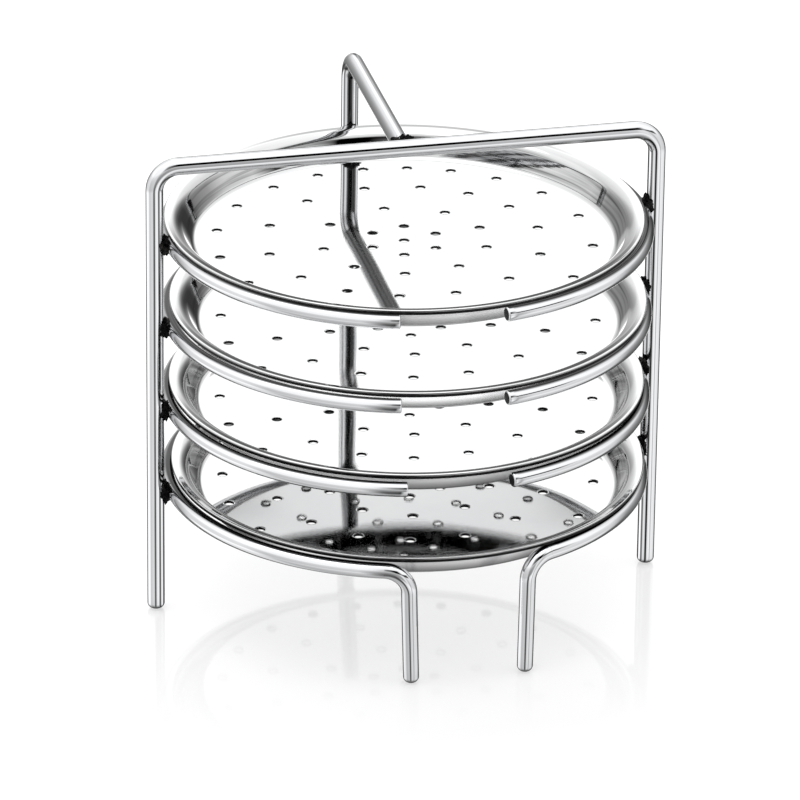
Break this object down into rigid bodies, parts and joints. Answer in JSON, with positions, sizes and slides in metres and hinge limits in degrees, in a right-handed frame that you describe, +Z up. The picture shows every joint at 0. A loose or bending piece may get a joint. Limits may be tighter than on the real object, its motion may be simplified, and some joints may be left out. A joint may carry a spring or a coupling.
{
  "type": "idiyappam stand",
  "caption": "Welded polished-steel rod stand with a carrying bar and an open front, holding loose perforated dish plates on stacked wire rings for steaming idiyappam.",
  "frame": {"origin": "middle of the footprint, on the floor plane that the feet stand on", "axes": "+Z up, +X from the left post to the right post along the carrying bar, the open front towards -Y"},
  "size_m": [0.1782, 0.1706, 0.1655],
  "materials": {
    "polished_rod": "mirror-polished stainless steel rod and wire",
    "polished_sheet": "mirror-polished stainless steel sheet",
    "weld": "rough heat-darkened weld bead"
  },
  "bodies": {
    "stand": {"handle_frame": "polished_rod", "back_post": "polished_rod", "base_ring": "polished_rod", "tier_ring_2": "polished_rod", "tier_ring_3": "polished_rod", "tier_ring_4": "polished_rod", "weld_1_left": "weld", "weld_1_back": "weld", "weld_1_right": "weld", "weld_2_left": "weld", "weld_2_back": "weld", "weld_2_right": "weld", "weld_3_left": "weld", "weld_3_back": "weld", "weld_3_right": "weld", "weld_4_left": "weld", "weld_4_back": "weld", "weld_4_right": "weld", "weld_arm_bar": "weld"},
    "plate_1": {"plate_1": "polished_sheet"},
    "plate_2": {"plate_2": "polished_sheet"},
    "plate_3": {"plate_3": "polished_sheet"},
    "plate_4": {"plate_4": "polished_sheet"}
  },
  "joints": [
    {"name": "plate_1_lift", "type": "slide", "parent": "stand", "child": "plate_1", "axis": [0, 0, 1], "range_m": [0, 0.018]},
    {"name": "plate_2_lift", "type": "slide", "parent": "stand", "child": "plate_2", "axis": [0, 0, 1], "range_m": [0, 0.018]},
    {"name": "plate_3_lift", "type": "slide", "parent": "stand", "child": "plate_3", "axis": [0, 0, 1], "range_m": [0, 0.018]},
    {"name": "plate_4_lift", "type": "slide", "parent": "stand", "child": "plate_4", "axis": [0, 0, 1], "range_m": [0, 0.018]}
  ]
}
